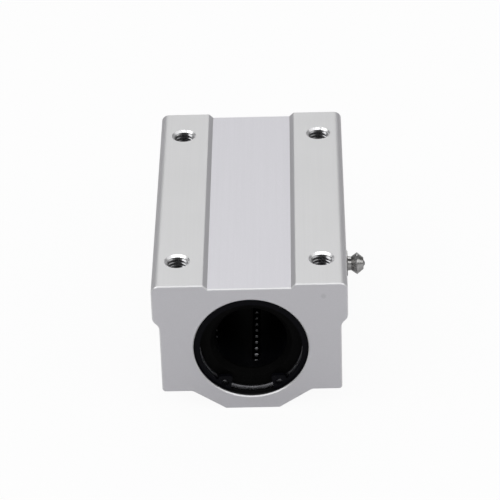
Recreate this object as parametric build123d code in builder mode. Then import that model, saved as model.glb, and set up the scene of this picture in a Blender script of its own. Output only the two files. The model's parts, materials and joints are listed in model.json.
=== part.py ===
from build123d import *
import os
from math import asin, cos, degrees, floor, radians, sin, sqrt, tan

# Long linear bearing block for a 20 mm shaft, in millimetres.
# Y runs along the shaft and Z up, towards the mounting face. The origin is on the shaft's axis,
# halfway along the block.

# Ball bushing, two of them in a row, which come to the usual 32 across
shaft_diameter = 20.0
ball_diameter = 3.175
bearing_length = 42.0
circuit_count = 5
ball_gap = 0.01  # between neighbouring balls of a row
turn_play = 0.055  # how much wider a turn is than the tightest that its balls could take
track_clearance = 0.11  # between a ball and each wall of its track
return_lift = 0.96  # how far the return row lies further out than the loaded row
turn_lift = 0.71  # the same for the ball in the middle of a turn
first_row_angle = -84.0  # of the loaded row at the bottom, from +X towards +Z
ball_flat_relief = 0.075  # how much less a ball drawn with flats measures across two of them

# Bearing sleeve
relief_clearance = 0.115  # between the returning balls and the sleeve
relief_wall = 1.75  # sleeve wall where the balls turn round and come back
raceway_overrun = 0.86  # from the centre of the last loaded ball to the raceway's end
seal_pocket_depth = 3.0
sleeve_edge_chamfer = 0.5
snap_groove_width = 1.6
snap_groove_depth = 0.75
snap_groove_setback = 5.75  # from the end of the bearing to the outside groove

# Cage
cage_clearance = 0.075  # between cage and raceway
cage_bore_clearance = 0.3  # between cage and shaft
cage_end_play = 0.18  # between the cage and the end ring
cage_end_wall = 0.45
slot_clearance = 0.03  # between a loaded ball and its window, over the whole width
slot_end_play = 0.15  # from the last loaded ball to the end of its window
slot_lip = 0.2  # thickness of the window's lip that keeps the balls in
track_floor_clearance = 0.06  # under the ball in the middle of a turn

# Seals and end rings
seal_setback = 0.8
seal_rim_width = 1.05
seal_web_thickness = 1.1
seal_dish_width = 1.35  # from the flat face in to the lip
seal_dish_depth = 1.95
seal_dish_thickness = 0.3
seal_lip_length = 0.6
seal_lip_thickness = 0.45
seal_running_clearance = 0.05
seal_seat_clearance = 0.05
end_ring_thickness = 0.6
end_ring_width = 1.8
end_ring_groove_depth = 0.4
end_ring_clearance = 0.05
axial_clearance = 0.02

# Retaining ring and its groove
ring_thickness = 1.2
ring_groove_play = 0.1  # how much wider the groove is than the ring
ring_groove_depth = 0.85
ring_groove_setback = 1.2  # from the end face to the groove
ring_groove_clearance = 0.05
ring_back_width = 3.15  # radial width opposite the gap
ring_eccentricity = 0.6
lug_gap = 10.6  # between the tips of the two lugs
lug_gap_flare = 10.0  # angle of the gap's sides from the vertical
lug_width = 3.9
lug_spread = 2.0  # how much wider the lug is at the bore's wall than at its tip
lug_height = 6.1  # from the bore's wall to the lug's tip
lug_corner_radius = 0.8
plier_hole_diameter = 2.0
plier_hole_inset = 2.2  # from the lug's tip to the hole's centre
plier_hole_side_inset = 2.15  # from the tip's corner beside the gap

# Spacer between the bearings
spacer_length = 7.0
spacer_wall = 2.0
spacer_groove_width = 3.0
spacer_groove_depth = 0.8
spacer_hole_diameter = 2.5
spacer_hole_count = 4
bearing_seat_clearance = 0.02  # between the bearings or the spacer and the bore

# Housing
crown_wall = 3.8  # between the bore and the floor of the channel
channel_depth = 1.2
channel_width = 23.0
boss_wall = 4.0  # between the bore and the flat underside
boss_width = 15.0
boss_root_inset = 3.3  # from the middle of a through hole to the foot of the boss
boss_height = 6.0
bolt_wall = 1.4  # between a through hole and the bore
edge_wall = 2.55  # between a through hole and the side of the body
flange_overhang = 1.85
flange_thickness = 11.5  # down to the corner where the flange slopes in to the body
flange_slope_height = 1.85
flange_corner_radius = 2.2
flange_edge_radius = 2.8
flange_root_radius = 2.3
body_corner_radius = 1.0
boss_root_radius = 2.0
boss_edge_radius = 0.8
channel_edge_radius = 0.7
end_chamfer = 0.3
through_hole_diameter = 5.2
thread_diameter = 6.0
thread_depth = 12.0
countersink_width = 0.6  # from the thread out to the countersink's rim
hole_spacing_along = 70.0

# Grease nipple, in the side at half length
nipple_drop = 3.0  # below the shaft's axis
nipple_thread_diameter = 6.0
nipple_thread_length = 5.5
nipple_thread_clearance = 0.03
nipple_thread_chamfer = 0.5
nipple_hole_runout = 1.0  # how much deeper the hole is than the thread in it
grease_hole_diameter = 2.5
nipple_hex = 7.0
nipple_hex_height = 2.65
nipple_hex_bevel = 30.0  # angle of the turned bevel on the hexagon's corners
nipple_neck_diameter = 4.0
nipple_neck_taper = 0.1  # how much thicker the neck's radius is at the hexagon
nipple_neck_length = 1.0
nipple_head_diameter = 6.3
nipple_head_rise = 1.6  # from the neck out to the widest part of the head
nipple_ridge_width = 0.2
nipple_head_length = 3.6  # from the neck to the tip
nipple_tip_diameter = 3.4
nipple_tip_radius = 0.4
nipple_duct_diameter = 1.6
check_ball_diameter = 2.5
check_ball_clearance = 0.02
chamber_clearance = 0.15  # between the check ball and the chamber's wall
seat_overlap = 0.3  # how far the mouth's rim reaches in over the check ball
spring_wire_diameter = 0.35
spring_inset = 0.1  # how far the coil lies inside the check ball's outline
spring_turns = 5
spring_length = 6.2  # of the coil's wire centre line, from its seat on the check ball

# Radii about the shaft's axis, from the shaft outwards
shaft_radius = shaft_diameter / 2
ball_radius = ball_diameter / 2
loaded_radius = shaft_radius + ball_radius
return_radius = loaded_radius + return_lift
turn_ball_radius = loaded_radius + turn_lift
raceway_radius = shaft_radius + ball_diameter
relief_radius = return_radius + ball_radius + relief_clearance
bore_radius = relief_radius + relief_wall
sleeve_radius = bore_radius - bearing_seat_clearance
cage_radius = raceway_radius - cage_clearance
cage_bore_radius = shaft_radius + cage_bore_clearance
slot_lip_radius = cage_bore_radius + slot_lip
track_floor_radius = shaft_radius + turn_lift - track_floor_clearance
seal_lip_radius = shaft_radius + seal_running_clearance
seal_radius = relief_radius - seal_seat_clearance
end_groove_radius = relief_radius + end_ring_groove_depth
end_ring_radius = end_groove_radius - end_ring_clearance
ring_groove_radius = bore_radius + ring_groove_depth
ring_radius = ring_groove_radius - ring_groove_clearance

# A ball circuit: a loaded row and a return row, joined round a turn at each end
ball_pitch = ball_diameter + ball_gap
turn_radius = ball_diameter / sqrt(2) + turn_play
track_width = ball_diameter + 2 * track_clearance
slot_width = 2 * sqrt(ball_radius**2 - (loaded_radius - slot_lip_radius) ** 2) + slot_clearance
cage_setback = seal_pocket_depth + axial_clearance + end_ring_thickness + cage_end_play
turn_angle_loaded = degrees(asin(turn_radius / loaded_radius))
turn_angle_return = degrees(asin(turn_radius / return_radius))
row_space = bearing_length - 2 * (cage_setback + cage_end_wall + track_width / 2 + turn_radius)
balls_in_row = floor(row_space / ball_pitch + 1e-6) + 1
row_length = (balls_in_row - 1) * ball_pitch
turn_reach = row_length / 2 + turn_radius
circuit_angles = [first_row_angle + 360 / circuit_count * n for n in range(circuit_count)]

# Places along Y
ring_groove_width = ring_thickness + ring_groove_play
bearing_setback = ring_groove_setback + ring_groove_width
half_length = bearing_setback + bearing_length + spacer_length / 2
bearing_centre = half_length - bearing_setback - bearing_length / 2

# The housing's outline
mounting_z = bore_radius + crown_wall + channel_depth
boss_z = -bore_radius - boss_wall
shoulder_z = boss_z + boss_height
flange_z = mounting_z - flange_thickness
flange_root_z = flange_z - flange_slope_height
hole_spacing_across = 2 * (bore_radius + bolt_wall) + through_hole_diameter
boss_root_half_width = hole_spacing_across / 2 - boss_root_inset
body_half_width = (hole_spacing_across + through_hole_diameter) / 2 + edge_wall
half_width = body_half_width + flange_overhang
corner_tolerance = 0.01  # for telling the outline's corners apart by their height

os.makedirs("parts", exist_ok=True)


def turned(outline):
    """A solid of revolution about Y from an outline of (radius, y) points."""
    with BuildPart(mode=Mode.PRIVATE) as blank:
        with BuildSketch(Plane.XY):
            with BuildLine():
                Polyline(*outline, close=True)
            make_face()
        revolve(axis=Axis.Y)
    return blank.part


def radial_plane(angle, y):
    """The plane that faces outwards at this angle about the shaft, with its Y along the shaft."""
    outwards = (cos(radians(angle)), 0, sin(radians(angle)))
    sideways = (-sin(radians(angle)), 0, cos(radians(angle)))
    return Plane(origin=(0, y, 0), x_dir=sideways, z_dir=outwards)


def corners_at(sketch, height):
    """The corners of a cross section that lie at this height, from left to right."""
    found = sketch.vertices().filter_by_position(
        Axis.Y, height - corner_tolerance, height + corner_tolerance
    )
    return found.sort_by(Axis.X)


# The housing is one aluminium extrusion, cut to length, bored through and drilled.
with BuildPart() as housing:
    with BuildSketch(Plane.XZ) as section:
        with BuildLine():
            Polyline(
                (0, boss_z),
                (boss_width / 2, boss_z),
                (boss_root_half_width, shoulder_z),
                (body_half_width, shoulder_z),
                (body_half_width, flange_root_z),
                (half_width, flange_z),
                (half_width, mounting_z),
                (channel_width / 2 + channel_depth, mounting_z),
                (channel_width / 2, mounting_z - channel_depth),
                (0, mounting_z - channel_depth),
            )
            mirror(about=Plane.YZ)
        make_face()
        for height, outer_radius, inner_radius in (
            (mounting_z, flange_corner_radius, channel_edge_radius),
            (shoulder_z, body_corner_radius, boss_root_radius),
        ):
            fillet(corners_at(section, height)[1:-1], inner_radius)
            corners = corners_at(section, height)
            fillet([corners[0], corners[-1]], outer_radius)
        fillet(corners_at(section, flange_z), flange_edge_radius)
        fillet(corners_at(section, flange_root_z), flange_root_radius)
        fillet(corners_at(section, boss_z), boss_edge_radius)
        Circle(bore_radius, mode=Mode.SUBTRACT)
    extrude(amount=half_length, both=True)
    end_faces = housing.faces().filter_by(Axis.Y).sort_by(Axis.Y)
    chamfer(end_faces[0].edges() + end_faces[-1].edges(), end_chamfer)
    for side in (-1, 1):
        groove_y = side * (half_length - ring_groove_setback - ring_groove_width / 2)
        with BuildSketch(Plane.XZ.offset(-groove_y)):
            Circle(ring_groove_radius)
        extrude(amount=ring_groove_width / 2, both=True, mode=Mode.SUBTRACT)
    with Locations((0, 0, mounting_z)):
        with GridLocations(hole_spacing_across, hole_spacing_along, 2, 2):
            Hole(through_hole_diameter / 2)
            CounterSinkHole(
                thread_diameter / 2,
                thread_diameter / 2 + countersink_width,
                depth=thread_depth,
                counter_sink_angle=90,
            )
    with BuildSketch(Plane.YZ.offset(body_half_width)):
        with Locations((0, -nipple_drop)):
            Circle(nipple_thread_diameter / 2 + nipple_thread_clearance)
    extrude(amount=-nipple_thread_length - nipple_hole_runout, mode=Mode.SUBTRACT)
    with BuildSketch(Plane.YZ.offset(body_half_width)):
        with Locations((0, -nipple_drop)):
            Circle(grease_hole_diameter / 2)
    extrude(amount=-body_half_width, mode=Mode.SUBTRACT)
housing.part.label = "housing"
export_step(housing.part, "parts/housing.step")

# A retaining ring, stamped from spring steel, keeps the bearings in at each end of the bore.
lug_tip_z = lug_height - bore_radius
lug_root_z = lug_tip_z - lug_height
gap_spread = ring_radius * tan(radians(lug_gap_flare))
plier_hole_x = lug_gap / 2 + plier_hole_side_inset
plier_hole_z = lug_tip_z - plier_hole_inset
for place, side in (("front", -1), ("rear", 1)):
    ring_y = side * (half_length - ring_groove_setback - ring_groove_width / 2)
    with BuildPart() as retaining_ring:
        with BuildSketch(Plane.XZ.offset(-ring_y)) as ring_outline:
            Circle(ring_radius)
            with Locations((0, -ring_eccentricity)):
                Circle(ring_radius - ring_back_width + ring_eccentricity, mode=Mode.SUBTRACT)
            with BuildLine():
                Polyline(
                    (lug_gap / 2, lug_tip_z),
                    (lug_gap / 2 + lug_width, lug_tip_z),
                    (lug_gap / 2 + lug_width + lug_spread, lug_root_z),
                    (lug_gap / 2, lug_root_z),
                    close=True,
                )
            make_face()
            mirror(about=Plane.YZ)
            Circle(ring_radius, mode=Mode.INTERSECT)
            with BuildLine():
                Polyline(
                    (lug_gap / 2, lug_tip_z),
                    (lug_gap / 2 + gap_spread, lug_tip_z - ring_radius),
                    (-lug_gap / 2 - gap_spread, lug_tip_z - ring_radius),
                    (-lug_gap / 2, lug_tip_z),
                    close=True,
                )
            make_face(mode=Mode.SUBTRACT)
            fillet(corners_at(ring_outline, lug_tip_z), lug_corner_radius)
            with Locations((plier_hole_x, plier_hole_z), (-plier_hole_x, plier_hole_z)):
                Circle(plier_hole_diameter / 2, mode=Mode.SUBTRACT)
        extrude(amount=ring_thickness / 2, both=True)
    retaining_ring.part.label = f"{place}_retaining_ring"
    export_step(retaining_ring.part, f"parts/{place}_retaining_ring.step")

# The spacer holds the bearings apart, and its holes let grease through to the balls.
spacer_radius = sleeve_radius
with BuildPart() as spacer:
    with BuildSketch(Plane.XZ):
        Circle(spacer_radius)
        Circle(spacer_radius - spacer_wall, mode=Mode.SUBTRACT)
    extrude(amount=spacer_length / 2 - axial_clearance, both=True)
    with BuildSketch(Plane.XZ):
        Circle(spacer_radius)
        Circle(spacer_radius - spacer_groove_depth, mode=Mode.SUBTRACT)
    extrude(amount=spacer_groove_width / 2, both=True, mode=Mode.SUBTRACT)
    for n in range(spacer_hole_count):
        with BuildSketch(radial_plane(360 / spacer_hole_count * (n + 0.5), 0)):
            Circle(spacer_hole_diameter / 2)
        extrude(amount=spacer_radius, mode=Mode.SUBTRACT)
spacer.part.label = "middle_spacer"
export_step(spacer.part, "parts/middle_spacer.step")

# One bearing ball, drawn with 26 flats, the way it sits at the origin.
with BuildPart() as ball:
    flats = ball_diameter - ball_flat_relief
    Box(flats, flats, flats)
    chamfer(ball.edges(), flats * (1 - 1 / (1 + sqrt(2))) / 2)

# The bearings are alike. Each is a steel sleeve with a resin cage in it, which leads five
# endless circuits of balls: out along the shaft, round a turn, and back behind the cage's wall.
for place, side in (("front", -1), ("rear", 1)):
    centre_y = side * bearing_centre

    half_bearing = bearing_length / 2
    pocket_end = half_bearing - seal_pocket_depth
    end_groove_end = pocket_end - end_ring_thickness - 2 * axial_clearance
    raceway_end = row_length / 2 + raceway_overrun
    with BuildPart() as sleeve:
        add(
            turned(
                [
                    (sleeve_radius, centre_y - half_bearing),
                    (sleeve_radius, centre_y + half_bearing),
                    (relief_radius, centre_y + half_bearing),
                    (relief_radius, centre_y + pocket_end),
                    (end_groove_radius, centre_y + pocket_end),
                    (end_groove_radius, centre_y + end_groove_end),
                    (relief_radius, centre_y + end_groove_end),
                    (relief_radius, centre_y + raceway_end),
                    (raceway_radius, centre_y + raceway_end),
                    (raceway_radius, centre_y - raceway_end),
                    (relief_radius, centre_y - raceway_end),
                    (relief_radius, centre_y - end_groove_end),
                    (end_groove_radius, centre_y - end_groove_end),
                    (end_groove_radius, centre_y - pocket_end),
                    (relief_radius, centre_y - pocket_end),
                    (relief_radius, centre_y - half_bearing),
                ]
            )
        )
        rims = sleeve.edges().filter_by(GeomType.CIRCLE).group_by(SortBy.RADIUS)[-1]
        chamfer(rims, sleeve_edge_chamfer)
        for end in (-1, 1):
            groove_y = centre_y + end * (half_bearing - snap_groove_setback - snap_groove_width / 2)
            with BuildSketch(Plane.XZ.offset(-groove_y)):
                Circle(sleeve_radius + snap_groove_depth)
                Circle(bore_radius - snap_groove_depth, mode=Mode.SUBTRACT)
            extrude(amount=snap_groove_width / 2, both=True, mode=Mode.SUBTRACT)
        for angle in circuit_angles:
            return_angle = angle + turn_angle_loaded + turn_angle_return
            with BuildSketch(Plane.XZ.offset(-centre_y)):
                with PolarLocations(return_radius, 1, start_angle=return_angle):
                    Circle(relief_radius - return_radius)
            extrude(amount=raceway_end, both=True, mode=Mode.SUBTRACT)
    sleeve.part.label = f"{place}_bearing_sleeve"
    export_step(sleeve.part, f"parts/{place}_bearing_sleeve.step")

    with BuildPart() as cage:
        with BuildSketch(Plane.XZ.offset(-centre_y)):
            Circle(cage_radius)
            Circle(cage_bore_radius, mode=Mode.SUBTRACT)
        extrude(amount=half_bearing - cage_setback, both=True)
        for angle in circuit_angles:
            middle = radial_plane(angle + turn_angle_loaded, centre_y)
            with BuildSketch(middle.offset(track_floor_radius)):
                SlotCenterToCenter(row_length, 2 * turn_radius + track_width, rotation=90)
                SlotCenterToCenter(
                    row_length, 2 * turn_radius - track_width, rotation=90, mode=Mode.SUBTRACT
                )
            extrude(amount=cage_radius, mode=Mode.SUBTRACT)
            loaded = radial_plane(angle, centre_y)
            with BuildSketch(loaded.offset(slot_lip_radius)):
                SlotCenterToCenter(row_length, track_width, rotation=90)
            extrude(amount=cage_radius, mode=Mode.SUBTRACT)
            with BuildSketch(loaded):
                SlotCenterToCenter(row_length + 2 * slot_end_play, slot_width, rotation=90)
            extrude(amount=cage_radius, mode=Mode.SUBTRACT)
    cage.part.label = f"{place}_bearing_cage"
    export_step(cage.part, f"parts/{place}_bearing_cage.step")

    for n, angle in enumerate(circuit_angles):
        middle_angle = angle + turn_angle_loaded
        return_angle = middle_angle + turn_angle_return
        seats = [(turn_ball_radius, middle_angle, end * turn_reach) for end in (-1, 1)]
        for step in range(balls_in_row):
            along = step * ball_pitch - row_length / 2
            seats.append((loaded_radius, angle, along))
            seats.append((return_radius, return_angle, along))
        with BuildPart() as circuit:
            for radius, seat_angle, along in seats:
                with Locations(radial_plane(seat_angle, centre_y + along).offset(radius)):
                    add(ball.part)
        circuit.part.label = f"{place}_ball_circuit_{n + 1}"
        export_step(circuit.part, f"parts/{place}_ball_circuit_{n + 1}.step")

    for which, outwards in (("outer", side), ("inner", -side)):
        end_y = centre_y + outwards * half_bearing
        inwards = -outwards

        # The seal is a rubber ring, dished inwards to a lip that wipes the shaft.
        face = end_y + inwards * seal_setback
        seat = end_y + inwards * (seal_pocket_depth - seal_seat_clearance)
        lip = face + inwards * seal_dish_depth
        with BuildPart() as seal:
            add(
                turned(
                    [
                        (seal_radius, face),
                        (seal_lip_radius + seal_dish_width, face),
                        (seal_lip_radius, lip),
                        (seal_lip_radius, lip + inwards * seal_lip_length),
                        (seal_lip_radius + seal_lip_thickness, lip + inwards * seal_lip_length),
                        (
                            seal_lip_radius + seal_dish_width + seal_dish_thickness,
                            face + inwards * seal_web_thickness,
                        ),
                        (seal_radius - seal_rim_width, face + inwards * seal_web_thickness),
                        (seal_radius - seal_rim_width, seat),
                        (seal_radius, seat),
                    ]
                )
            )
        seal.part.label = f"{place}_bearing_{which}_seal"
        export_step(seal.part, f"parts/{place}_bearing_{which}_seal.step")

        # A steel end ring snaps into the groove behind the seal and locks the cage.
        ring_start = end_y + inwards * (seal_pocket_depth + axial_clearance)
        with BuildPart() as end_ring:
            add(
                turned(
                    [
                        (end_ring_radius, ring_start),
                        (end_ring_radius, ring_start + inwards * end_ring_thickness),
                        (end_ring_radius - end_ring_width, ring_start + inwards * end_ring_thickness),
                        (end_ring_radius - end_ring_width, ring_start),
                    ]
                )
            )
        end_ring.part.label = f"{place}_bearing_{which}_end_ring"
        export_step(end_ring.part, f"parts/{place}_bearing_{which}_end_ring.step")

# The grease nipple is turned from hexagon bar, and screwed into the side of the housing.
nipple_axis = Axis((0, 0, -nipple_drop), (1, 0, 0))
hex_top = body_half_width + nipple_hex_height
head_start = hex_top + nipple_neck_length
tip_x = head_start + nipple_head_length
thread_end = body_half_width - nipple_thread_length
check_ball_radius = check_ball_diameter / 2
chamber_radius = check_ball_radius + chamber_clearance
mouth_radius = check_ball_radius - seat_overlap
seat_end = tip_x - (chamber_radius - mouth_radius)
ball_x = tip_x - sqrt(check_ball_radius**2 - mouth_radius**2) - check_ball_clearance
coil_radius = check_ball_radius - spring_inset - spring_wire_diameter / 2
spring_end = ball_x - sqrt(check_ball_radius**2 - coil_radius**2) - spring_wire_diameter / 2
spring_start = spring_end - spring_length
chamber_floor = spring_start - spring_wire_diameter / 2
hex_corner_radius = nipple_hex / 2 / cos(radians(30))
hex_bevel_height = (hex_corner_radius - nipple_hex / 2) * tan(radians(nipple_hex_bevel))
with BuildPart() as nipple:
    with BuildSketch(Plane.YZ.offset(body_half_width)):
        with Locations((0, -nipple_drop)):
            RegularPolygon(hex_corner_radius, 6)
    extrude(amount=nipple_hex_height)
    with BuildSketch(Plane.XY.offset(-nipple_drop)):
        with BuildLine():
            Polyline(
                (hex_top, nipple_hex / 2),
                (hex_top, hex_corner_radius),
                (hex_top - hex_bevel_height, hex_corner_radius),
                close=True,
            )
        make_face()
    revolve(axis=nipple_axis, mode=Mode.SUBTRACT)
    with BuildSketch(Plane.XY.offset(-nipple_drop)) as turned_outline:
        with BuildLine():
            Polyline(
                (thread_end, 0),
                (thread_end, nipple_thread_diameter / 2 - nipple_thread_chamfer),
                (thread_end + nipple_thread_chamfer, nipple_thread_diameter / 2),
                (hex_top, nipple_thread_diameter / 2),
                (hex_top, nipple_neck_diameter / 2 + nipple_neck_taper),
                (head_start, nipple_neck_diameter / 2),
                (head_start + nipple_head_rise, nipple_head_diameter / 2),
                (head_start + nipple_head_rise + nipple_ridge_width, nipple_head_diameter / 2),
                (tip_x, nipple_tip_diameter / 2),
                (tip_x, 0),
                close=True,
            )
        make_face()
        fillet(turned_outline.vertices().group_by(Axis.X)[-1].sort_by(Axis.Y)[-1], nipple_tip_radius)
    revolve(axis=nipple_axis)
    with BuildSketch(Plane.XY.offset(-nipple_drop)):
        with BuildLine():
            Polyline(
                (thread_end, 0),
                (thread_end, nipple_duct_diameter / 2),
                (chamber_floor, nipple_duct_diameter / 2),
                (chamber_floor, chamber_radius),
                (seat_end, chamber_radius),
                (tip_x, mouth_radius),
                (tip_x, 0),
                close=True,
            )
        make_face()
    revolve(axis=nipple_axis, mode=Mode.SUBTRACT)
nipple.part.label = "grease_nipple"
export_step(nipple.part, "parts/grease_nipple.step")

with BuildPart() as check_ball:
    with Locations((ball_x, 0, -nipple_drop)):
        Sphere(check_ball_radius)
check_ball.part.label = "nipple_check_ball"
export_step(check_ball.part, "parts/nipple_check_ball.step")

with BuildPart() as spring:
    with BuildLine():
        coil = Helix(
            pitch=spring_length / spring_turns,
            height=spring_length,
            radius=coil_radius,
            center=(spring_start, 0, -nipple_drop),
            direction=(1, 0, 0),
        )
    with BuildSketch(Plane(origin=coil @ 0, z_dir=coil % 0)):
        RegularPolygon(spring_wire_diameter / 2, 8)
    sweep(path=coil, is_frenet=True)
spring.part.label = "nipple_spring"
export_step(spring.part, "parts/nipple_spring.step")
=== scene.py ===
# %% [markdown]
# # Dressing a long linear bearing block
#
# The object is a block of satin aluminium about as long as a hand is wide. Two ball bushings sit one
# behind the other in its bore, and a steel shaft would run through them. Its shapes were measured
# and built elsewhere, piece by piece, in millimetres. Here we load them as a fixed frame and give
# each piece the finish that it has on the real block, and add the detail that is too fine for a
# construction model: screw threads and truly round balls.
#
# The first step loads the frame. Everything in it is in metres, Y runs along the shaft, and Z points
# up, out of the mounting face. We keep the frame's box now, so that at the end we can compare it
# with the box of the dressed object: dressing must not make the object bigger.

# %% Load the frame and keep its box
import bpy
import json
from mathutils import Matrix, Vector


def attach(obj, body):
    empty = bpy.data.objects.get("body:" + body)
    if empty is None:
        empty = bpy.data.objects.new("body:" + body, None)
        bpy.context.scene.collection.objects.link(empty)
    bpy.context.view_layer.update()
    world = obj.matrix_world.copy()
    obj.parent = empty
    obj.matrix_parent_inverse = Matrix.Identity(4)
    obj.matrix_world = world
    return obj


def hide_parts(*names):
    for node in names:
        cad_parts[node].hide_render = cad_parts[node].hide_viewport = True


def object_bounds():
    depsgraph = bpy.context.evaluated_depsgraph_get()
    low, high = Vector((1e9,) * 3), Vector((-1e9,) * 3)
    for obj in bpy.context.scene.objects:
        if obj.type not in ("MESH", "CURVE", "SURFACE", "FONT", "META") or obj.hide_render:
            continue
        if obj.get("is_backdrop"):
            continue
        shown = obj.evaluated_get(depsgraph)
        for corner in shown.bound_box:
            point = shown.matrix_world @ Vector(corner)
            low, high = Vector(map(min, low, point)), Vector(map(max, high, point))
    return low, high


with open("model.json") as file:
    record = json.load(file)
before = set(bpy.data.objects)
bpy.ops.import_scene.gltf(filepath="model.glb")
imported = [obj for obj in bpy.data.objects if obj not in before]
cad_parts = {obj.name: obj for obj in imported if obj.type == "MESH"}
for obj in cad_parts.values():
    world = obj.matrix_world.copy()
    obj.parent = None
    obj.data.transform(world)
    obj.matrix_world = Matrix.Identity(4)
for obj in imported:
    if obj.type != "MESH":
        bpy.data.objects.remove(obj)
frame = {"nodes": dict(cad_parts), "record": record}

frame_box = [list(corner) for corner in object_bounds()]
size_mm = [round(1000 * (high - low), 1) for low, high in zip(*frame_box)]
print("pieces in the frame:", len(frame["nodes"]), "size in mm:", size_mm)

# %% [markdown]
# ## Tools for the rest of the lesson
#
# bpy talks to Blender, bmesh edits meshes in memory, and mathutils has vectors and matrices. The
# frame's joints tell us that one piece moves: the small ball in the grease nipple. Every other
# piece belongs to the body called block, so what we add to the block will ride on that one.

# %% Import the modelling tools
import json
from math import cos, pi, radians, sin

import bmesh
import bpy
from mathutils import Vector

MM = 0.001
BLOCK = "block"

# %% [markdown]
# ## The camera
#
# The photograph was taken from the front and above, with a long lens: the long edges of the block
# converge only a little. A short lens near the object would make the front face far too big. The
# place and angles below come from matching known corners of the block to where they appear in the
# picture. The camera leans by a little over one degree, as a hand-held one does.

# %% Place the camera
LENS_MM = 203.42
CAMERA_PLACE = (0.016726, -0.696754, 0.437834)
CAMERA_ANGLES = (57.983, 1.624, 0.406)

camera_data = bpy.data.cameras.new("studio_camera")
camera_data.sensor_width = 36.0
camera_data.lens = LENS_MM
camera_data.clip_start = 0.05
camera_data.clip_end = 20.0
camera = bpy.data.objects.new("studio_camera", camera_data)
camera.location = CAMERA_PLACE
camera.rotation_euler = [radians(angle) for angle in CAMERA_ANGLES]
bpy.context.scene.collection.objects.link(camera)
bpy.context.scene.camera = camera
print("camera distance in mm:", round(camera.location.length / MM))

# %% [markdown]
# ## Helpers for node trees
#
# Materials and the light of the room are both node trees: small programs made of boxes and wires.
# Adding each box by hand takes many lines, so a few helpers do it. The first makes one arithmetic
# node. The second maps a number from one range to another and holds it at the ends, which is how
# we say "dark here, bright there, and a soft change between them". The third takes a vector apart
# into its three numbers.

# %% Define the node helpers
def calc(tree, operation, *values, clamp=False):
    """One arithmetic node. Each value is a number or another node's output."""
    node = tree.nodes.new("ShaderNodeMath")
    node.operation = operation
    node.use_clamp = clamp
    for socket, value in zip(node.inputs, values):
        if isinstance(value, (int, float)):
            socket.default_value = value
        else:
            tree.links.new(value, socket)
    return node.outputs[0]


def ramp(tree, value, low_in, high_in, low_out, high_out, smooth=False):
    """Maps a number from one range to another, and holds it at the ends."""
    node = tree.nodes.new("ShaderNodeMapRange")
    node.interpolation_type = "SMOOTHSTEP" if smooth else "LINEAR"
    names = ("From Min", "From Max", "To Min", "To Max")
    for name, number in zip(names, (low_in, high_in, low_out, high_out)):
        node.inputs[name].default_value = number
    tree.links.new(value, node.inputs["Value"])
    return node.outputs["Result"]


def split(tree, vector):
    """The three parts of a vector, each as an output that other nodes can read."""
    node = tree.nodes.new("ShaderNodeSeparateXYZ")
    tree.links.new(vector, node.inputs[0])
    return node.outputs[0], node.outputs[1], node.outputs[2]


print("node helpers ready")

# %% [markdown]
# ## The floor
#
# A block lies on something, so a wide pale floor goes under its lowest face. In the picture the
# ground is pure white. One could reach that with more light, but then the block would be too
# bright as well. Instead the floor is a matt white that glows, only for rays that come from the
# camera, from a mirror-like surface or through glass. Light that bounces off the floor is left as
# it is. The glow is strong for the camera and weaker in reflections, so that the front face of the
# block still shows the soft shadow that lies at its foot.

# %% Lay the floor
CAMERA_GLOW = 0.94
REFLECTION_GLOW = 0.12
FLOOR_WHITE = (0.78, 0.78, 0.785, 1)
HALF_FLOOR = 3.0
floor_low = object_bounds()[0].z


def make_floor_material():
    """A matt white that glows for the camera and, less, in reflections."""
    material = bpy.data.materials.new("white_studio_floor")
    material.use_nodes = True
    tree = material.node_tree
    tree.nodes.clear()
    matt_white = tree.nodes.new("ShaderNodeBsdfDiffuse")
    matt_white.inputs["Color"].default_value = FLOOR_WHITE
    glow = tree.nodes.new("ShaderNodeEmission")
    glow.inputs["Strength"].default_value = 1.0
    path = tree.nodes.new("ShaderNodeLightPath")
    mirrored = calc(tree, "MAXIMUM", path.outputs["Is Glossy Ray"], path.outputs["Is Transmission Ray"])
    in_mirror = calc(tree, "MULTIPLY", mirrored, REFLECTION_GLOW)
    in_camera = calc(tree, "MULTIPLY", path.outputs["Is Camera Ray"], CAMERA_GLOW)
    mix = tree.nodes.new("ShaderNodeMixShader")
    out = tree.nodes.new("ShaderNodeOutputMaterial")
    tree.links.new(calc(tree, "MAXIMUM", in_mirror, in_camera), mix.inputs["Fac"])
    tree.links.new(matt_white.outputs[0], mix.inputs[1])
    tree.links.new(glow.outputs[0], mix.inputs[2])
    tree.links.new(mix.outputs[0], out.inputs["Surface"])
    return material


floor_in_memory = bmesh.new()
bmesh.ops.create_grid(floor_in_memory, x_segments=1, y_segments=1, size=HALF_FLOOR)
bmesh.ops.translate(floor_in_memory, verts=floor_in_memory.verts, vec=(0, 0, floor_low))
floor_mesh = bpy.data.meshes.new("studio_floor")
floor_in_memory.to_mesh(floor_mesh)
floor_in_memory.free()
floor_mesh.materials.append(make_floor_material())
floor = bpy.data.objects.new("studio_floor", floor_mesh)
bpy.context.scene.collection.objects.link(floor)
floor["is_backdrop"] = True
print("floor height in mm:", round(floor_low / MM, 2))

# %% [markdown]
# ## Light
#
# Satin metal shows what stands round it, blurred. The mounting face mirrors what is behind and
# above the block, the front face mirrors the floor before it, and the narrow slopes mirror the
# sides of the room. In the picture the top is bright and even, the front face is a middle grey, and
# the slopes are darker. So a large soft lamp stands high behind the block.
#
# The other lamps draw the small highlights. A wide, narrow one hangs in front. It makes the thin
# white lines along the broken edges and round the lower rim of the bore, and a white crescent in
# the far part of each countersink. A lamp on the left carries that crescent on round its right
# side and lights the turns of the thread there. A weaker one on the right does the same on the
# left side. A smaller one stands lower on the right and puts the pale patch on the nipple's cone.
#
# Nothing hangs straight above. The middle of each thread mirrors that part of the room, and in the
# picture it is nearly black.

# %% Light the studio
BLOCK_MIDDLE = Vector((0, 0, 0))


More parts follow.
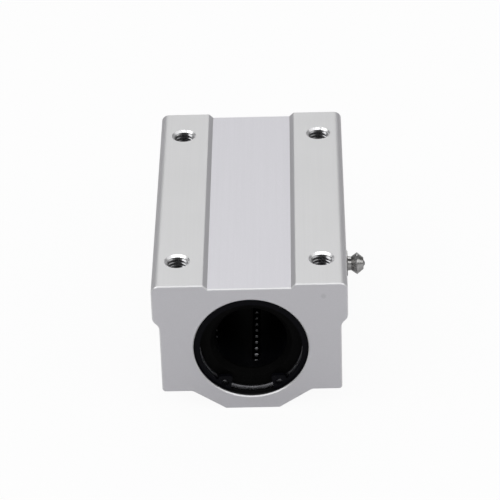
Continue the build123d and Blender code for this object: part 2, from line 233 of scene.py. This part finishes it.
def soft_lamp(name, place, width, depth, power):
    """A rectangular area lamp at a place, turned towards the middle of the block."""
    data = bpy.data.lights.new(name, "AREA")
    data.shape = "RECTANGLE"
    data.size = width
    data.size_y = depth
    data.energy = power
    lamp = bpy.data.objects.new(name, data)
    lamp.location = place
    lamp.rotation_euler = (BLOCK_MIDDLE - Vector(place)).to_track_quat("-Z", "Y").to_euler()
    bpy.context.scene.collection.objects.link(lamp)


soft_lamp("back_softbox", (0.0, 1.15, 1.15), 1.2, 1.0, 5.7)
soft_lamp("front_softbox", (0.05, -0.85, 1.15), 3.4, 0.5, 9.5)
soft_lamp("left_softbox", (-0.90, -0.05, 1.00), 1.4, 0.7, 5.0)
soft_lamp("right_softbox", (0.90, -0.05, 1.00), 1.4, 0.7, 2.1)
soft_lamp("nipple_softbox", (1.3, -0.07, 0.5), 0.7, 0.5, 1.8)

# %% [markdown]
# The rest of the light comes from the room. It is even and pale, and two parts of it are darker:
# the sides, which the slopes of the block mirror, and the part straight above. A direction is three
# numbers between minus one and one, so "to the side" is a large first number, and "up" is a third
# number close to one.

# %% Make the room
ROOM_STRENGTH = 0.55
SIDE_STRENGTH = 0.25
SIDE_RANGE = (0.35, 0.85)
CEILING_SHARE = 0.1
CEILING_RANGE = (0.85, 0.97)


def make_room():
    """An even pale room whose sides, and the part straight above, are darker."""
    world = bpy.data.worlds.new("pale_room")
    world.use_nodes = True
    tree = world.node_tree
    tree.nodes.clear()
    direction = split(tree, tree.nodes.new("ShaderNodeTexCoord").outputs["Generated"])
    sideways = calc(tree, "ABSOLUTE", direction[0])
    walls = ramp(tree, sideways, *SIDE_RANGE, ROOM_STRENGTH, SIDE_STRENGTH, smooth=True)
    ceiling = ramp(tree, direction[2], *CEILING_RANGE, 1.0, CEILING_SHARE, smooth=True)
    background = tree.nodes.new("ShaderNodeBackground")
    out = tree.nodes.new("ShaderNodeOutputWorld")
    tree.links.new(calc(tree, "MULTIPLY", walls, ceiling), background.inputs["Strength"])
    tree.links.new(background.outputs[0], out.inputs["Surface"])
    return world


bpy.context.scene.world = make_room()
bpy.context.scene.view_settings.view_transform = "Standard"
print("room:", bpy.context.scene.world.name)

# %% [markdown]
# ## Helpers for materials
#
# All finishes start from the Principled shader and read the point's place in metres, so that grain
# and scratches have their true size on every piece. How strongly a surface that isn't metal
# mirrors, its specular level, is one number for the whole finish. Black resin and rubber get very
# little of it, or they would look grey under soft light.
#
# Four helpers are enough for all of them. One starts a material, one makes a pattern of noise, one
# mixes two colours, and one lets a pattern raise and lower the surface by thousandths of a
# millimetre. Noise goes from nothing to one, but nearly all of it lies round a half. So wherever a
# pattern steers a tone or a roughness, only the middle of its range is used.

# %% Define the material helpers
NOISE_MIDDLE = (0.3, 0.7)
CLOUD_MIDDLE = (0.35, 0.65)


def start_material(name, metallic=0.0, specular=0.5):
    """A material with one Principled shader, and the object's own coordinates to steer it with."""
    material = bpy.data.materials.new(name)
    material.use_nodes = True
    tree = material.node_tree
    tree.nodes.clear()
    shader = tree.nodes.new("ShaderNodeBsdfPrincipled")
    shader.inputs["Metallic"].default_value = metallic
    shader.inputs["Specular IOR Level"].default_value = specular
    out = tree.nodes.new("ShaderNodeOutputMaterial")
    tree.links.new(shader.outputs[0], out.inputs["Surface"])
    place = tree.nodes.new("ShaderNodeTexCoord").outputs["Object"]
    return material, tree, shader, place


def grain(tree, place, per_mm, stretch=(1, 1, 1), detail=2.0):
    """A noise pattern with about that many features per millimetre, stretched along the axes."""
    mapping = tree.nodes.new("ShaderNodeMapping")
    mapping.inputs["Scale"].default_value = [factor * per_mm / MM for factor in stretch]
    tree.links.new(place, mapping.inputs["Vector"])
    noise = tree.nodes.new("ShaderNodeTexNoise")
    noise.inputs["Scale"].default_value = 1.0
    noise.inputs["Detail"].default_value = detail
    tree.links.new(mapping.outputs[0], noise.inputs["Vector"])
    return noise.outputs["Fac"]


def blend_colours(tree, share, first, second):
    """Mixes two colours by a share from nothing to one. Each is a triple or a node's output."""
    node = tree.nodes.new("ShaderNodeMix")
    node.data_type = "RGBA"
    tree.links.new(share, node.inputs["Factor"])
    for socket, colour in ((node.inputs[6], first), (node.inputs[7], second)):
        if isinstance(colour, tuple):
            socket.default_value = (*colour, 1)
        else:
            tree.links.new(colour, socket)
    return node.outputs[2]


def add_bump(tree, shader, height, depth_mm, strength=0.5):
    """Lets a pattern raise and lower the surface by that depth, for the light only."""
    bump = tree.nodes.new("ShaderNodeBump")
    bump.inputs["Strength"].default_value = strength
    bump.inputs["Distance"].default_value = depth_mm * MM
    tree.links.new(height, bump.inputs["Height"])
    tree.links.new(bump.outputs[0], shader.inputs["Normal"])


print("material helpers ready")

# %% [markdown]
# ## Satin aluminium
#
# The housing is extruded: pushed through a die like pasta, then cut to length. After that the two
# pads and both ends are milled flat, the bore is turned and the holes are drilled. Last, the whole
# block is anodised to an even satin grey. Three things show in the picture. The milled faces are
# a neutral light grey. The slopes and rounded edges are darker: partly the duller extruded skin,
# partly painted shade for faces that look towards the dark sides of the room. And the thin broken
# edges round each end get a lighter tone, a painted highlight that draws them as bright lines.
#
# One could paint these zones by hand. Here the surface's own direction tells them apart: an end
# face looks along Y, a broken edge looks half along Y, and so on. That costs no texture and fits
# however the block is made. Its height tells the channel's floor from the two pads.

# %% Tell the zones of the housing apart by direction
END_FACE_RANGE = (0.86, 0.97)
TURNED_RANGE = (0.45, 0.60)
SQUARE_RANGE = (0.90, 0.985)
LEVEL_RANGE = (0.97, 0.995)
ABOVE_THE_BORE = (18 * MM, 19 * MM)
BELOW_THE_PADS = (20.2 * MM, 20.6 * MM)


def zones_by_direction(tree, height):
    """Shares from nothing to one: end faces, broken edges with a painted highlight, slopes with extruded
    skin and painted shade, and the channel's floor.
    """
    normal = tree.nodes.new("ShaderNodeNewGeometry").outputs["Normal"]
    across, along, up = (calc(tree, "ABSOLUTE", part) for part in split(tree, normal))
    end_face = ramp(tree, along, *END_FACE_RANGE, 0, 1)
    turned_to_the_end = ramp(tree, along, *TURNED_RANGE, 0, 1)
    # the broken edges' mask, where a lighter painted highlight goes
    painted_highlight_edge = calc(tree, "SUBTRACT", turned_to_the_end, end_face, clamp=True)
    squareness = calc(tree, "MAXIMUM", calc(tree, "MAXIMUM", across, along), up)
    slanted = ramp(tree, squareness, *SQUARE_RANGE, 1, 0)
    # the slopes' mask: duller extruded skin, and painted shade for faces that look to the dark sides
    skin_and_painted_shade_slope = calc(tree, "MULTIPLY", slanted, calc(tree, "SUBTRACT", 1.0, turned_to_the_end))
    level = ramp(tree, up, *LEVEL_RANGE, 0, 1)
    above_the_bore = ramp(tree, height, *ABOVE_THE_BORE, 0, 1)
    below_the_pads = ramp(tree, height, *BELOW_THE_PADS, 1, 0)
    channel = calc(tree, "MULTIPLY", level, calc(tree, "MULTIPLY", above_the_bore, below_the_pads))
    return end_face, painted_highlight_edge, skin_and_painted_shade_slope, channel


print("zones by direction: end faces, broken edges, slopes, channel")

# %% [markdown]
# Other zones are told apart by place. Round each hole's axis, a circle a little wider than the
# countersink holds the freshly cut cone, which is bright, and under it the thread, whose darker
# tone is painted shade for the inside of the hole. The bore's wall gets a near-black tone, painted
# shade for the dark inside of the bore, and it mirrors the black pieces inside as well.
# One tiny smudge on the front face is in the picture too, so it is here.

# %% Tell the zones of the housing apart by place
HOLE_X = 20 * MM
HOLE_Y = 35 * MM
HOLE_ZONE = 3.66 * MM
CONE_FOOT = 20.39 * MM
CONE_TOP = 20.985 * MM
BORE_ZONE = 16.95 * MM
BORE_ZONE_END = 47.45 * MM
SMUDGE_X = 20.3 * MM
SMUDGE_Z = 16.9 * MM
SMUDGE_RADIUS = 1.0 * MM


def distance_squared(tree, first, second, first_centre=0.0, second_centre=0.0):
    """The squared distance from a centre, measured along two axes."""
    one_way = calc(tree, "POWER", calc(tree, "SUBTRACT", first, first_centre), 2.0)
    other_way = calc(tree, "POWER", calc(tree, "SUBTRACT", second, second_centre), 2.0)
    return calc(tree, "ADD", one_way, other_way)


def zones_by_place(tree, x, y, z):
    """Shares from nothing to one: countersink cones, threads with painted shade, the bore's wall with
    painted shade, and the smudge.
    """
    half_x = calc(tree, "ABSOLUTE", x)
    half_y = calc(tree, "ABSOLUTE", y)
    from_hole = distance_squared(tree, half_x, half_y, HOLE_X, HOLE_Y)
    in_circle = calc(tree, "LESS_THAN", from_hole, HOLE_ZONE ** 2)
    drilled = calc(tree, "MULTIPLY", in_circle, calc(tree, "LESS_THAN", z, CONE_TOP))
    above_foot = calc(tree, "GREATER_THAN", z, CONE_FOOT)
    cone = calc(tree, "MULTIPLY", drilled, above_foot)
    # the thread's mask, where painted shade for the inside of the hole goes
    thread = calc(tree, "SUBTRACT", drilled, cone)
    # the bore wall's mask, where a near-black painted shade goes
    near_shaft = calc(tree, "LESS_THAN", distance_squared(tree, x, z), BORE_ZONE ** 2)
    painted_shade_bore_wall = calc(tree, "MULTIPLY", near_shaft, calc(tree, "LESS_THAN", half_y, BORE_ZONE_END))
    from_smudge = distance_squared(tree, x, z, SMUDGE_X, SMUDGE_Z)
    spot = ramp(tree, from_smudge, 0.0, SMUDGE_RADIUS ** 2, 1, 0, smooth=True)
    smudge = calc(tree, "MULTIPLY", spot, calc(tree, "LESS_THAN", y, -HOLE_Y))
    return cone, thread, painted_shade_bore_wall, smudge


print("zones by place: cones, threads, bore wall, smudge")

# %% [markdown]
# Now the finish itself. Fine blasting gives a speckle of about a seventh of a millimetre, the die
# leaves faint streaks along the block, and a slow cloud keeps the large faces from looking painted.
#
# An anodised surface is part metal and part clear oxide, so its share of metal is about a half.
# The cones and threads were cut through the oxide. They are nearly all metal, and smoother.

# %% Make the satin aluminium
CLOUDS_PER_MM = 0.05
SPECKLES_PER_MM = 7.0
STREAKS_PER_MM = 2.2
ALONG_THE_BLOCK = (1, 0.012, 1)
MILLED_DARK = (0.550, 0.550, 0.555)
MILLED_LIGHT = (0.585, 0.585, 0.590)
SPECKLE_TONES = (0.955, 1.03)
STREAK_TONES = (0.988, 1.01)
SMUDGE_SHARE = 0.22
SMUDGE_COLOUR = (0.25, 0.25, 0.27)
METAL_SHARE = 0.55
MORE_METAL_WHERE_CUT = 0.4
SATIN_ROUGHNESS = (0.40, 0.50)
SATIN_SPREAD = (0.2, 0.8)
CONE_SMOOTHER = 0.20
THREAD_SMOOTHER = 0.30
EDGE_SMOOTHER = 0.08
SLOPE_ROUGHER = 0.06
SPECKLE_SHARE = 0.6
STREAK_SHARE = 0.4
SATIN_DEPTH_MM = 0.006


def make_satin_aluminium():
    """Satin anodised aluminium, with a tone for each zone of the housing, some of them painted shade and
    painted highlight.
    """
    material, tree, shader, place = start_material("satin_aluminium")
    x, y, z = split(tree, place)
    end_face, painted_highlight_edge, skin_and_painted_shade_slope, channel = zones_by_direction(tree, z)
    cone, thread, painted_shade_bore_wall, smudge = zones_by_place(tree, x, y, z)

    cloud = grain(tree, place, CLOUDS_PER_MM, detail=3)
    blasted = grain(tree, place, SPECKLES_PER_MM, detail=1)
    drawn = grain(tree, place, STREAKS_PER_MM, stretch=ALONG_THE_BLOCK, detail=2)

    colour = blend_colours(tree, cloud, MILLED_DARK, MILLED_LIGHT)
    for zone, tint in (
        (channel, (0.580, 0.574, 0.606)),
        (end_face, (0.600, 0.594, 0.622)),
        # the slopes' darker tone: partly the extruded skin, partly painted shade
        (skin_and_painted_shade_slope, (0.500, 0.496, 0.512)),
        # the broken edges' lighter tone is a painted highlight
        (painted_highlight_edge, (0.700, 0.700, 0.710)),
        (cone, (0.800, 0.800, 0.810)),
        # the thread's darker tone is painted shade for the inside of the hole
        (thread, (0.460, 0.460, 0.470)),
        # the bore wall's near-black tone is painted shade for the dark bore
        (painted_shade_bore_wall, (0.014, 0.014, 0.015)),
    ):
        colour = blend_colours(tree, zone, colour, tint)
    colour = blend_colours(tree, calc(tree, "MULTIPLY", smudge, SMUDGE_SHARE), colour, SMUDGE_COLOUR)
    speckle = ramp(tree, blasted, *NOISE_MIDDLE, *SPECKLE_TONES)
    streaks = ramp(tree, drawn, *NOISE_MIDDLE, *STREAK_TONES)
    toned = tree.nodes.new("ShaderNodeVectorMath")
    toned.operation = "SCALE"
    tree.links.new(colour, toned.inputs[0])
    tree.links.new(calc(tree, "MULTIPLY", speckle, streaks), toned.inputs["Scale"])
    tree.links.new(toned.outputs[0], shader.inputs["Base Color"])

    cut = calc(tree, "MAXIMUM", cone, thread)
    metal = calc(tree, "ADD", METAL_SHARE, calc(tree, "MULTIPLY", cut, MORE_METAL_WHERE_CUT))
    tree.links.new(metal, shader.inputs["Metallic"])
    roughness = ramp(tree, blasted, *SATIN_SPREAD, *SATIN_ROUGHNESS)
    for zone, smoother in ((cone, CONE_SMOOTHER), (thread, THREAD_SMOOTHER), (painted_highlight_edge, EDGE_SMOOTHER)):
        roughness = calc(tree, "SUBTRACT", roughness, calc(tree, "MULTIPLY", zone, smoother))
    roughness = calc(tree, "ADD", roughness, calc(tree, "MULTIPLY", skin_and_painted_shade_slope, SLOPE_ROUGHER))
    tree.links.new(roughness, shader.inputs["Roughness"])
    speckle_height = calc(tree, "MULTIPLY", blasted, SPECKLE_SHARE)
    streak_height = calc(tree, "MULTIPLY", drawn, STREAK_SHARE)
    add_bump(tree, shader, calc(tree, "ADD", speckle_height, streak_height), SATIN_DEPTH_MM)
    return material


finishes = {"satin_aluminium": make_satin_aluminium()}
print("made satin_aluminium with", len(finishes["satin_aluminium"].node_tree.nodes), "nodes")

# %% [markdown]
# ## Black steel, resin and rubber
#
# Inside the bore nearly everything is black, but not the same black. The retaining ring is stamped
# from spring steel and blackened in a hot bath: a faint sheen lies on its edges. The cage that leads
# the balls is moulded resin, smooth and slightly glossy. The seals are rubber, the dullest of the
# three. Mixing them up would turn the bore into one flat hole, so each one gets its own roughness
# and its own grain. Each row of the table below is one finish, in the order that the helper asks
# for: name, two tones, clouds a millimetre, range of roughness, height of the grain in millimetres
# and specular level.

# %% Make the black finishes
BLACK_GRAINS_PER_MM = 10.0


def make_black(name, dark, light, per_mm, roughness, bump_mm, specular):
    """A black finish: a cloud of two near blacks, its own roughness and a fine grain."""
    material, tree, shader, place = start_material(name, specular=specular)
    cloud = grain(tree, place, per_mm, detail=4)
    fine = grain(tree, place, BLACK_GRAINS_PER_MM, detail=1)
    share = ramp(tree, cloud, *CLOUD_MIDDLE, 0, 1)
    tree.links.new(blend_colours(tree, share, dark, light), shader.inputs["Base Color"])
    tree.links.new(ramp(tree, cloud, *NOISE_MIDDLE, *roughness), shader.inputs["Roughness"])
    add_bump(tree, shader, fine, bump_mm)
    return material


BLACK_FINISHES = (
    ("black_spring_steel", (0.002, 0.002, 0.003), (0.003, 0.003, 0.005), 1.6, (0.30, 0.45), 0.004, 0.05),
    ("black_resin", (0.0015, 0.0015, 0.002), (0.003, 0.003, 0.004), 0.5, (0.34, 0.46), 0.003, 0.08),
    ("black_rubber", (0.001, 0.001, 0.001), (0.002, 0.002, 0.002), 0.35, (0.55, 0.72), 0.006, 0.04),
)
for finish_row in BLACK_FINISHES:
    finishes[finish_row[0]] = make_black(*finish_row)
print("finishes so far:", sorted(finishes))

# %% [markdown]
# ## Bright metals
#
# The sleeves are hardened steel, ground to size on a spinning wheel, so their marks run round the
# shaft's axis. The end rings are stamped, the spacer is turned from aluminium, and the nipple and
# the balls are polished. All are metals: their colour is the colour of their reflection, and the
# roughness decides how sharp it is. Marks that run round the axis come from noise that is read by
# distance along the axis and hardly at all by angle. Polished metal has smears and pits instead,
# the same in all directions. The balls get a colour far darker than bare steel, painted shade for
# the dark bore they lie in. The sleeves' steel and the nipple's nickel are darkened too, painted
# shade for the dark bore and the dark room that each of them mirrors. The table has the same order
# as the one before, with marks a millimetre in the place of clouds, and the direction in which the
# marks are stretched at the end.

# %% Make the bright finishes
TONES_PER_MM = 0.6
ROUND_THE_SHAFT = (0.06, 1, 0.06)
ALL_WAYS = (1, 1, 1)


def make_bright(name, dark, light, marks_per_mm, roughness, bump_mm, stretch):
    """A bare metal with a slow change of tone, and marks that set how sharp its mirror is."""
    material, tree, shader, place = start_material(name, metallic=1.0)
    cloud = grain(tree, place, TONES_PER_MM, detail=4)
    marks = grain(tree, place, marks_per_mm, stretch=stretch, detail=2)
    share = ramp(tree, cloud, *CLOUD_MIDDLE, 0, 1)
    tree.links.new(blend_colours(tree, share, dark, light), shader.inputs["Base Color"])
    tree.links.new(ramp(tree, marks, *NOISE_MIDDLE, *roughness), shader.inputs["Roughness"])
    add_bump(tree, shader, marks, bump_mm)
    return material


BRIGHT_FINISHES = (
    # bearing_steel: darker than bare ground steel, painted shade for the dark bore
    ("bearing_steel", (0.27, 0.27, 0.285), (0.34, 0.34, 0.36), 9.0, (0.22, 0.34), 0.001, ROUND_THE_SHAFT),
    ("end_ring_steel", (0.26, 0.26, 0.27), (0.36, 0.36, 0.37), 6.0, (0.30, 0.44), 0.003, ROUND_THE_SHAFT),
    ("spacer_aluminium", (0.52, 0.52, 0.53), (0.62, 0.62, 0.63), 5.0, (0.28, 0.42), 0.005, ROUND_THE_SHAFT),
    # ball_steel: nearly black, painted shade for the dark bore that the balls lie in
    ("ball_steel", (0.07, 0.07, 0.074), (0.11, 0.11, 0.115), 12.0, (0.08, 0.16), 0.002, ALL_WAYS),
    # nickel_steel: darker than bare nickel, painted shade for the dark room that the nipple mirrors
    ("nickel_steel", (0.30, 0.295, 0.29), (0.42, 0.415, 0.41), 8.0, (0.18, 0.28), 0.002, ALL_WAYS),
    ("spring_wire", (0.36, 0.36, 0.38), (0.46, 0.46, 0.48), 12.0, (0.20, 0.34), 0.002, ALL_WAYS),
)
for finish_row in BRIGHT_FINISHES:
    finishes[finish_row[0]] = make_bright(*finish_row)
print("finishes:", sorted(finishes))

# %% [markdown]
# ## Put the finishes on the pieces
#
# The frame's record says which finish each piece has. We follow it in a loop instead of naming all
# the pieces: the loop can't forget one. A piece's mesh and place stay untouched, only its
# material slot changes.

# %% Assign the finishes
slot_of = {row["node"]: row["material_slot"] for row in frame["record"]["subparts"]}
for name, piece in frame["nodes"].items():
    piece.data.materials.clear()
    piece.data.materials.append(finishes[slot_of[name]])
print("pieces finished:", len(slot_of), "with", len(set(slot_of.values())), "finishes")

# %% [markdown]
# ## Round balls
#
# A ball bushing lives by its balls. Each of the ten circuits is an endless chain of twenty: a
# loaded row that carries the shaft, a return row behind it, and one ball in each turn. The frame
# draws every ball with flats, to stay light. Here each chain gets polished round balls in the same
# places. We find the places from the frame itself: the middle of each loose lump of the chain's
# mesh is the middle of a ball.
#
# A mesh that comes from a file may hold the same corner more than once, a copy for each flat that
# meets there. So we first copy the chain and merge the corners that lie together. Then a walk along
# the edges from any corner reaches all of its ball and nothing else.

# %% Find the balls of a chain
BALL_RADIUS = 3.175 / 2 * MM
MERGE_DISTANCE = 0.001 * MM


def lump_middles(mesh):
    """The middle of each loose lump of a mesh."""
    chain = bmesh.new()
    chain.from_mesh(mesh)
    bmesh.ops.remove_doubles(chain, verts=chain.verts, dist=MERGE_DISTANCE)
    unseen = set(chain.verts)
    middles = []
    while unseen:
        waiting = [unseen.pop()]
        lump = []
        while waiting:
            corner = waiting.pop()
            lump.append(corner.co.copy())
            for edge in corner.link_edges:
                other = edge.other_vert(corner)
                if other in unseen:
                    unseen.remove(other)
                    waiting.append(other)
        low = Vector([min(point[i] for point in lump) for i in range(3)])
        high = Vector([max(point[i] for point in lump) for i in range(3)])
        middles.append((low + high) / 2)
    chain.free()
    return sorted(middles, key=lambda middle: tuple(round(value, 6) for value in middle))


sample = lump_middles(frame["nodes"]["front_ball_circuit_1"].data)
print("balls in a chain:", len(sample), "lowest at Z in mm:", round(min(p.z for p in sample) / MM, 2))

# %% [markdown]
# Every piece that we add to the block goes the same way, so a helper does it. It makes all faces
# look outwards, turns the mesh in memory into an object, and gives it its finish.

# %% Define how a piece is added
def add_mesh_piece(name, mesh_in_memory, finish, smooth=True):
    """Turns a bmesh into a piece that rides on the block and has that finish."""
    bmesh.ops.recalc_face_normals(mesh_in_memory, faces=mesh_in_memory.faces)
    mesh = bpy.data.meshes.new(name)
    for face in mesh_in_memory.faces:
        face.smooth = smooth
    mesh_in_memory.to_mesh(mesh)
    mesh_in_memory.free()
    mesh.materials.append(finishes[finish])
    piece = bpy.data.objects.new(name, mesh)
    bpy.context.scene.collection.objects.link(piece)
    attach(piece, BLOCK)
    return piece


print("pieces ride on:", BLOCK)

# %% [markdown]
# A round ball in mesh form is a set of rings. Twenty-eight points round and fourteen rings are
# enough at this size, because smooth shading hides the flats that are left. All the balls of a
# chain go into one mesh, because a chain is handled as one thing. One mesh a ball would make two
# hundred objects.

# %% Build the chains of balls
POINTS_ROUND = 28
RINGS = 14

chain_names = sorted(node for node in frame["nodes"] if "ball_circuit" in node)
for name in chain_names:
    balls = bmesh.new()
    for middle in lump_middles(frame["nodes"][name].data):
        ball = bmesh.ops.create_uvsphere(
            balls, u_segments=POINTS_ROUND, v_segments=RINGS, radius=BALL_RADIUS
        )
        bmesh.ops.translate(balls, verts=ball["verts"], vec=middle)
    round_balls = add_mesh_piece(name + "_round", balls, "ball_steel")
    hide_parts(name)
print("chains of round balls:", len(chain_names))

# %% [markdown]
# ## Screw threads
#
# The four holes in the mounting face are tapped M6. Looking into them, one sees the thread's turns
# as bright and dark bands. A picture of stripes would slide wrongly when the camera moves, so the
# thread is real geometry: one ridge that winds down the wall of the hole, with its crest at the
# inside. Its section is a blunt triangle. The ridge starts thin, where the tap enters, and its
# foot reaches a hair into the wall, so that no gap shows. We make the section once for each step
# of the turn, a ring of four corners, and lay a skin of faces from each ring to the next.

# %% Define the thread
THREAD_PITCH = 1.0 * MM
THREAD_ROOT = 3.02 * MM
THREAD_CREST = 2.52 * MM
STEPS_PER_TURN = 48
THREAD_TOP = 20.30 * MM
THREAD_BOTTOM = 9.6 * MM
START_SIZE = 0.12
GROWTH_PER_TURN = 2.2
HALF_FOOT = 0.42 * THREAD_PITCH
HALF_TIP = 0.07 * THREAD_PITCH
HOLES = [(x, y) for x in (-HOLE_X, HOLE_X) for y in (-HOLE_Y, HOLE_Y)]


def lay_skin(mesh, rings):
    """Lays faces between each ring of corners and the next."""
    for before, after in zip(rings, rings[1:]):
        for i in range(len(before)):
            j = (i + 1) % len(before)
            mesh.faces.new((before[i], before[j], after[j], after[i]))


def add_ridge(mesh, centre_x, centre_y):
    """Adds a closed ridge that winds up the wall of one hole, right-handed."""
    turns = (THREAD_TOP - THREAD_BOTTOM) / THREAD_PITCH
    steps = round(turns * STEPS_PER_TURN)
    rings = []
    for step in range(steps + 1):
        angle = 2 * pi * step / STEPS_PER_TURN
        height = THREAD_BOTTOM + THREAD_PITCH * step / STEPS_PER_TURN
        from_end = min(step, steps - step) / STEPS_PER_TURN
        grown = min(1.0, START_SIZE + from_end * GROWTH_PER_TURN)
        crest = THREAD_ROOT + (THREAD_CREST - THREAD_ROOT) * grown
        foot = HALF_FOOT * grown
        tip = HALF_TIP * grown
        ring = []
        for radius, offset in ((THREAD_ROOT, foot), (crest, tip), (crest, -tip), (THREAD_ROOT, -foot)):
            place = (centre_x + radius * cos(angle), centre_y + radius * sin(angle), height + offset)
            ring.append(mesh.verts.new(place))
        rings.append(ring)
    lay_skin(mesh, rings)
    mesh.faces.new(rings[0])
    mesh.faces.new(rings[-1])


print("turns of thread:", round((THREAD_TOP - THREAD_BOTTOM) / THREAD_PITCH, 1))

# %% [markdown]
# Above the thread, the mouth of each hole is a small cone. It is a mirror in miniature: its far
# half shows the front lamp as a white crescent. The frame draws the cone with about twenty flats,
# and flats break the crescent up. So each thread gets a thin smooth lining on top, a ring turned
# with ninety-six steps, that stands a hair inside the frame's cone.

# %% Line the countersinks and cut the four threads
LINING_STEPS = 96
LINING_SECTION = (
    (3.64 * MM, 20.990 * MM),
    (3.56 * MM, 20.990 * MM),
    (2.97 * MM, 20.400 * MM),
    (3.10 * MM, 20.330 * MM),
    (3.64 * MM, 20.700 * MM),
)


def add_lining(mesh, centre_x, centre_y):
    """Adds the smooth cone round the mouth of one hole, a closed ring."""
    rings = []
    for step in range(LINING_STEPS):
        angle = 2 * pi * step / LINING_STEPS
        ring = []
        for radius, height in LINING_SECTION:
            place = (centre_x + radius * cos(angle), centre_y + radius * sin(angle), height)
            ring.append(mesh.verts.new(place))
        rings.append(ring)
    lay_skin(mesh, rings + rings[:1])


for number, (hole_x, hole_y) in enumerate(HOLES, start=1):
    thread_mesh = bmesh.new()
    add_ridge(thread_mesh, hole_x, hole_y)
    add_lining(thread_mesh, hole_x, hole_y)
    thread = add_mesh_piece(f"mounting_thread_{number}", thread_mesh, "satin_aluminium", smooth=False)
    print(thread.name, "faces:", len(thread.data.polygons))

# %% [markdown]
# ## Compare the sizes
#
# Last, we measure the dressed object and compare its box with the frame's. The two should agree
# to a fraction of a millimetre.

# %% Compare the sizes
dressed_box = [list(corner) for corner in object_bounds()]
growth = max(
    abs(dressed - framed)
    for dressed_corner, frame_corner in zip(dressed_box, frame_box)
    for dressed, framed in zip(dressed_corner, frame_corner)
)
print("growth of the box in mm:", round(growth / MM, 3))
